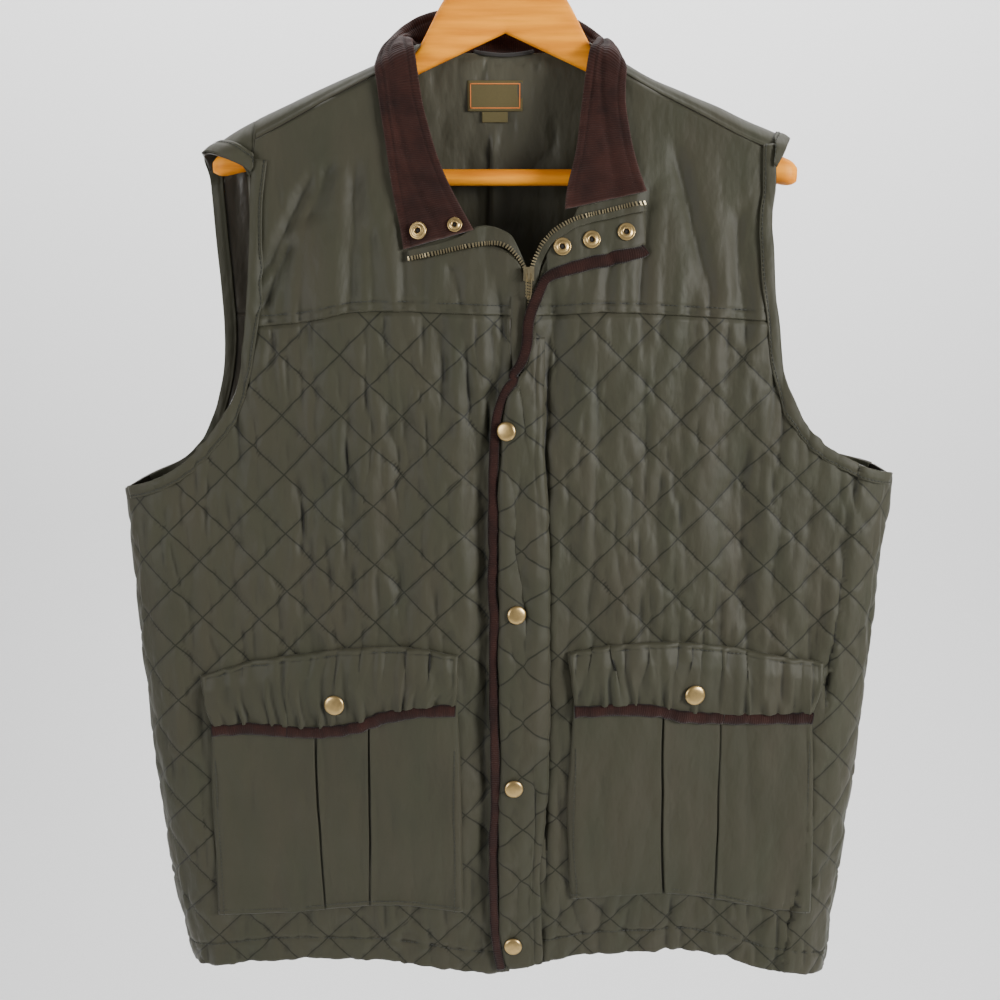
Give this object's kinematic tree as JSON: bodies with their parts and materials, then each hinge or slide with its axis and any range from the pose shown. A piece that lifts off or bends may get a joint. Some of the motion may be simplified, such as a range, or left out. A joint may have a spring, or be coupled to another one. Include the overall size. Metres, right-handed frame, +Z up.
{
  "type": "quilted vest on a wooden hanger",
  "caption": "Quilted sleeveless vest with corduroy collar, snap placket over a zip and flapped pleated pockets, hanging on a wooden hanger.",
  "frame": {"origin": "inner top of the hanger's hook, where it hangs on a rail", "axes": "+Z up, -Y out of the front of the vest, +X to the right as seen from the front"},
  "size_m": [0.6226, 0.1191, 0.8954],
  "materials": {
    "olive_nylon": "soft sheen",
    "lining": "soft sheen",
    "corduroy": "ribbed nap",
    "brass": "antique",
    "zip_metal": "worn",
    "zip_tape": "woven",
    "wood": "satin varnish",
    "steel": "polished",
    "label": "woven"
  },
  "bodies": {
    "vest_on_hanger": {"front_left": "olive_nylon", "front_right": "olive_nylon", "back_panel": "olive_nylon", "front_yoke_left": "olive_nylon", "front_yoke_right": "olive_nylon", "back_yoke": "olive_nylon", "back_lining": "lining", "collar": "corduroy", "placket": "olive_nylon", "placket_top": "olive_nylon", "placket_piping": "corduroy", "pocket_left": "olive_nylon", "flap_left": "olive_nylon", "flap_binding_left": "corduroy", "pocket_right": "olive_nylon", "flap_right": "olive_nylon", "flap_binding_right": "corduroy", "armhole_binding_front_left": "olive_nylon", "armhole_binding_back_left": "olive_nylon", "armhole_binding_front_right": "olive_nylon", "armhole_binding_back_right": "olive_nylon", "zip_tape_left": "zip_tape", "zip_tape_right": "zip_tape", "snap_cap_1": "brass", "snap_cap_2": "brass", "snap_cap_3": "brass", "snap_cap_4": "brass", "snap_cap_pocket_left": "brass", "snap_cap_pocket_right": "brass", "snap_socket_1": "brass", "snap_socket_2": "brass", "snap_socket_3": "brass", "snap_socket_4": "brass", "snap_socket_5": "brass", "hanger": "wood", "hook": "steel", "neck_label": "label", "size_tab": "label", "hanging_loop": "corduroy", "zip_slider": "zip_metal"},
    "zip_pull": {"zip_pull": "zip_metal"}
  },
  "joints": [
    {"name": "zip_pull_swing", "type": "hinge", "parent": "vest_on_hanger", "child": "zip_pull", "pos_m": [0.0174, -0.0482, -0.2931], "axis": [1, 0, 0], "range_deg": [-150, 0]}
  ]
}
